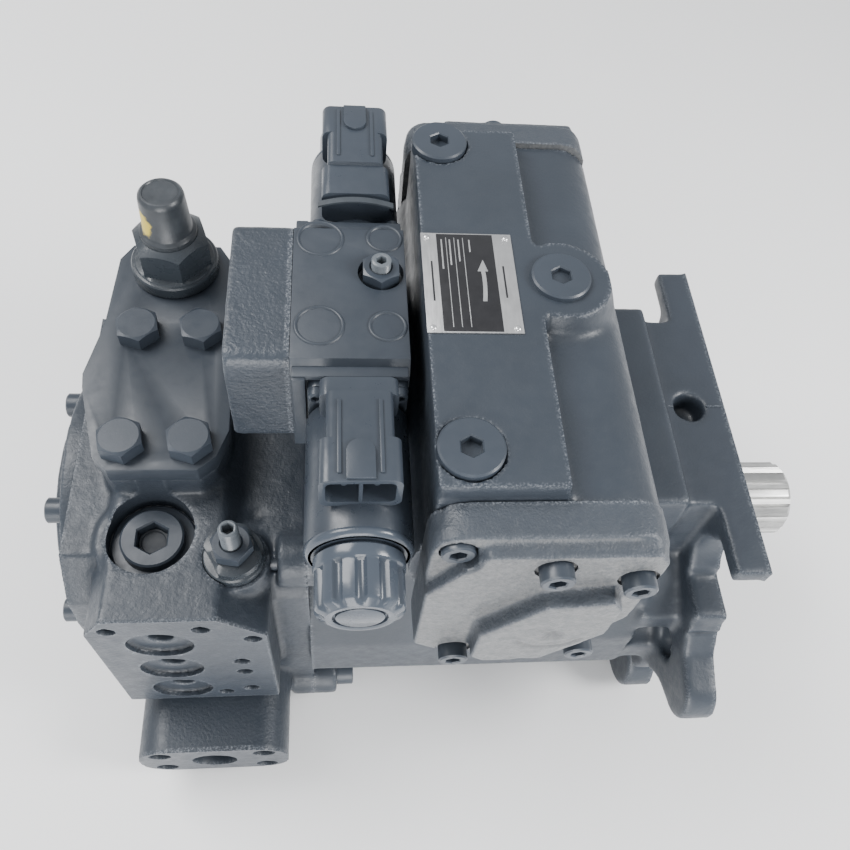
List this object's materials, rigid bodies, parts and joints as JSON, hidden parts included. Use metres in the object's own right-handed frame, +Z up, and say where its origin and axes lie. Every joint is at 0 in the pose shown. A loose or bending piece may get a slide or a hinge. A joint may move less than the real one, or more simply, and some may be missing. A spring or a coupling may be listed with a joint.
{
  "type": "axial piston pump",
  "caption": "Closed-circuit swashplate axial piston pump with a splined shaft, mounting flange, stroking cylinder, electric control and rear port casting.",
  "frame": {"origin": "centre of the mounting face on the shaft axis", "axes": "+X along the drive shaft and out of the pump, +Z up through the stroking cylinder's pad, +Y towards the far working port"},
  "size_m": [0.422, 0.266, 0.3025],
  "materials": {
    "cast_housing": "satin slate grey paint over a sand casting",
    "cast_end_cover": "satin slate grey paint over a sand casting",
    "cast_cover": "satin slate grey paint over a sand casting",
    "cast_control": "satin slate grey paint over a rough casting",
    "control_body": "satin slate grey paint over a machined block",
    "cover_plate": "satin slate grey paint",
    "painted_fastener": "satin slate grey paint over steel",
    "painted_plug": "satin slate grey paint over steel",
    "painted_stud": "thin grey paint over a steel thread",
    "painted_valve": "dark satin paint",
    "solenoid_coil": "painted coil case",
    "connector": "moulded plastic under paint",
    "coil_nut": "smooth satin paint",
    "nameplate": "brushed plate with a black panel",
    "rivet": "small drive rivets",
    "bare_steel": "machined bare steel",
    "hardened_steel": "ground steel",
    "bronze": "bronze",
    "swash_iron": "machined cast iron",
    "seal_rubber": "black rubber"
  },
  "bodies": {
    "root": {"pump_housing": "cast_housing", "end_cover": "cast_end_cover", "rear_cap": "cast_end_cover", "rear_cap_screws": "painted_fastener", "end_cover_bolts": "painted_fastener", "near_stroking_cover": "cast_cover", "far_stroking_cover": "cast_cover", "stroking_cover_screws": "painted_fastener", "pressure_port_plugs": "painted_plug", "nameplate": "nameplate", "nameplate_rivets": "rivet", "control_rear_block": "cast_control", "control_valve_body": "control_body", "neutral_adjuster_nut": "painted_fastener", "neutral_adjuster_stud": "painted_stud", "near_solenoid_coil": "solenoid_coil", "far_solenoid_coil": "solenoid_coil", "near_connector": "connector", "far_connector": "connector", "near_coil_nut": "coil_nut", "far_coil_nut": "coil_nut", "solenoid_flange_screws": "painted_fastener", "cover_plate": "cover_plate", "cover_plate_bolts": "painted_fastener", "relief_valve_body": "painted_valve", "relief_valve_cap": "painted_valve", "gallery_plug": "painted_plug", "cutoff_valve_body": "painted_valve", "cutoff_adjuster_nut": "painted_fastener", "cutoff_adjuster_stud": "painted_stud", "front_bearing": "hardened_steel", "shaft_seal": "seal_rubber", "valve_plate": "bronze", "swash_bearings": "hardened_steel"},
    "rotor": {"drive_shaft": "bare_steel", "cylinder_barrel": "hardened_steel", "boost_inner_gear": "hardened_steel"},
    "swashplate": {"swashplate": "swash_iron"},
    "slipper_retainer": {"slipper_retainer": "hardened_steel"},
    "stroking_piston": {"stroking_piston": "hardened_steel"},
    "control_spool": {"control_spool": "hardened_steel"},
    "boost_outer": {"boost_outer_gear": "hardened_steel"},
    "slipper_1": {"slipper_1": "bronze"},
    "piston_1": {"piston_1": "hardened_steel"},
    "slipper_2": {"slipper_2": "bronze"},
    "piston_2": {"piston_2": "hardened_steel"},
    "slipper_3": {"slipper_3": "bronze"},
    "piston_3": {"piston_3": "hardened_steel"},
    "slipper_4": {"slipper_4": "bronze"},
    "piston_4": {"piston_4": "hardened_steel"},
    "slipper_5": {"slipper_5": "bronze"},
    "piston_5": {"piston_5": "hardened_steel"},
    "slipper_6": {"slipper_6": "bronze"},
    "piston_6": {"piston_6": "hardened_steel"},
    "slipper_7": {"slipper_7": "bronze"},
    "piston_7": {"piston_7": "hardened_steel"},
    "slipper_8": {"slipper_8": "bronze"},
    "piston_8": {"piston_8": "hardened_steel"},
    "slipper_9": {"slipper_9": "bronze"},
    "piston_9": {"piston_9": "hardened_steel"}
  },
  "joints": [
    {"name": "shaft_spin", "type": "hinge", "parent": "root", "child": "rotor", "pos_m": [0, 0, 0], "axis": [1, 0, 0], "continuous": true},
    {"name": "swash_tilt", "type": "hinge", "parent": "root", "child": "swashplate", "pos_m": [-0.075, 0, 0], "axis": [0, 0, 1], "range_deg": [-18, 18], "stiffness_Nm_per_rad": 20},
    {"name": "stroking_slide", "type": "slide", "parent": "root", "child": "stroking_piston", "axis": [0, -1, 0], "range_m": [-0.0158, 0.0158]},
    {"name": "spool_slide", "type": "slide", "parent": "root", "child": "control_spool", "axis": [0, 1, 0], "range_m": [-0.003, 0.003], "stiffness_N_per_m": 2000},
    {"name": "boost_outer_spin", "type": "hinge", "parent": "root", "child": "boost_outer", "pos_m": [-0.309, -0.0032, 0], "axis": [1, 0, 0], "continuous": true},
    {"name": "retainer_spin", "type": "hinge", "parent": "swashplate", "child": "slipper_retainer", "pos_m": [-0.075, 0, 0], "axis": [1, 0, 0], "continuous": true},
    {"name": "slipper_1_spin", "type": "hinge", "parent": "slipper_retainer", "child": "slipper_1", "pos_m": [-0.075, 0, 0.0415], "axis": [1, 0, 0], "continuous": true},
    {"name": "piston_1_swivel", "type": "hinge", "parent": "slipper_1", "child": "piston_1", "pos_m": [-0.075, 0, 0.0415], "axis": [0, 0, 1], "range_deg": [-18.5, 18.5]},
    {"name": "slipper_2_spin", "type": "hinge", "parent": "slipper_retainer", "child": "slipper_2", "pos_m": [-0.075, -0.02668, 0.03179], "axis": [1, 0, 0], "continuous": true},
    {"name": "piston_2_swivel", "type": "hinge", "parent": "slipper_2", "child": "piston_2", "pos_m": [-0.075, -0.02668, 0.03179], "axis": [0, 0, 1], "range_deg": [-18.5, 18.5]},
    {"name": "slipper_3_spin", "type": "hinge", "parent": "slipper_retainer", "child": "slipper_3", "pos_m": [-0.075, -0.04087, 0.00721], "axis": [1, 0, 0], "continuous": true},
    {"name": "piston_3_swivel", "type": "hinge", "parent": "slipper_3", "child": "piston_3", "pos_m": [-0.075, -0.04087, 0.00721], "axis": [0, 0, 1], "range_deg": [-18.5, 18.5]},
    {"name": "slipper_4_spin", "type": "hinge", "parent": "slipper_retainer", "child": "slipper_4", "pos_m": [-0.075, -0.03594, -0.02075], "axis": [1, 0, 0], "continuous": true},
    {"name": "piston_4_swivel", "type": "hinge", "parent": "slipper_4", "child": "piston_4", "pos_m": [-0.075, -0.03594, -0.02075], "axis": [0, 0, 1], "range_deg": [-18.5, 18.5]},
    {"name": "slipper_5_spin", "type": "hinge", "parent": "slipper_retainer", "child": "slipper_5", "pos_m": [-0.075, -0.01419, -0.039], "axis": [1, 0, 0], "continuous": true},
    {"name": "piston_5_swivel", "type": "hinge", "parent": "slipper_5", "child": "piston_5", "pos_m": [-0.075, -0.01419, -0.039], "axis": [0, 0, 1], "range_deg": [-18.5, 18.5]},
    {"name": "slipper_6_spin", "type": "hinge", "parent": "slipper_retainer", "child": "slipper_6", "pos_m": [-0.075, 0.01419, -0.039], "axis": [1, 0, 0], "continuous": true},
    {"name": "piston_6_swivel", "type": "hinge", "parent": "slipper_6", "child": "piston_6", "pos_m": [-0.075, 0.01419, -0.039], "axis": [0, 0, 1], "range_deg": [-18.5, 18.5]},
    {"name": "slipper_7_spin", "type": "hinge", "parent": "slipper_retainer", "child": "slipper_7", "pos_m": [-0.075, 0.03594, -0.02075], "axis": [1, 0, 0], "continuous": true},
    {"name": "piston_7_swivel", "type": "hinge", "parent": "slipper_7", "child": "piston_7", "pos_m": [-0.075, 0.03594, -0.02075], "axis": [0, 0, 1], "range_deg": [-18.5, 18.5]},
    {"name": "slipper_8_spin", "type": "hinge", "parent": "slipper_retainer", "child": "slipper_8", "pos_m": [-0.075, 0.04087, 0.00721], "axis": [1, 0, 0], "continuous": true},
    {"name": "piston_8_swivel", "type": "hinge", "parent": "slipper_8", "child": "piston_8", "pos_m": [-0.075, 0.04087, 0.00721], "axis": [0, 0, 1], "range_deg": [-18.5, 18.5]},
    {"name": "slipper_9_spin", "type": "hinge", "parent": "slipper_retainer", "child": "slipper_9", "pos_m": [-0.075, 0.02668, 0.03179], "axis": [1, 0, 0], "continuous": true},
    {"name": "piston_9_swivel", "type": "hinge", "parent": "slipper_9", "child": "piston_9", "pos_m": [-0.075, 0.02668, 0.03179], "axis": [0, 0, 1], "range_deg": [-18.5, 18.5]}
  ],
  "couplings": [
    {"joint": "stroking_slide", "follows": "swash_tilt", "m_per_rad": 0.05},
    {"joint": "boost_outer_spin", "follows": "shaft_spin", "ratio": 0.85714},
    {"joint": "retainer_spin", "follows": "shaft_spin", "ratio": 1},
    {"joint": "slipper_1_spin", "follows": "shaft_spin", "ratio": -1},
    {"joint": "piston_1_swivel", "follows": "swash_tilt", "ratio": -1},
    {"joint": "slipper_2_spin", "follows": "shaft_spin", "ratio": -1},
    {"joint": "piston_2_swivel", "follows": "swash_tilt", "ratio": -1},
    {"joint": "slipper_3_spin", "follows": "shaft_spin", "ratio": -1},
    {"joint": "piston_3_swivel", "follows": "swash_tilt", "ratio": -1},
    {"joint": "slipper_4_spin", "follows": "shaft_spin", "ratio": -1},
    {"joint": "piston_4_swivel", "follows": "swash_tilt", "ratio": -1},
    {"joint": "slipper_5_spin", "follows": "shaft_spin", "ratio": -1},
    {"joint": "piston_5_swivel", "follows": "swash_tilt", "ratio": -1},
    {"joint": "slipper_6_spin", "follows": "shaft_spin", "ratio": -1},
    {"joint": "piston_6_swivel", "follows": "swash_tilt", "ratio": -1},
    {"joint": "slipper_7_spin", "follows": "shaft_spin", "ratio": -1},
    {"joint": "piston_7_swivel", "follows": "swash_tilt", "ratio": -1},
    {"joint": "slipper_8_spin", "follows": "shaft_spin", "ratio": -1},
    {"joint": "piston_8_swivel", "follows": "swash_tilt", "ratio": -1},
    {"joint": "slipper_9_spin", "follows": "shaft_spin", "ratio": -1},
    {"joint": "piston_9_swivel", "follows": "swash_tilt", "ratio": -1}
  ]
}
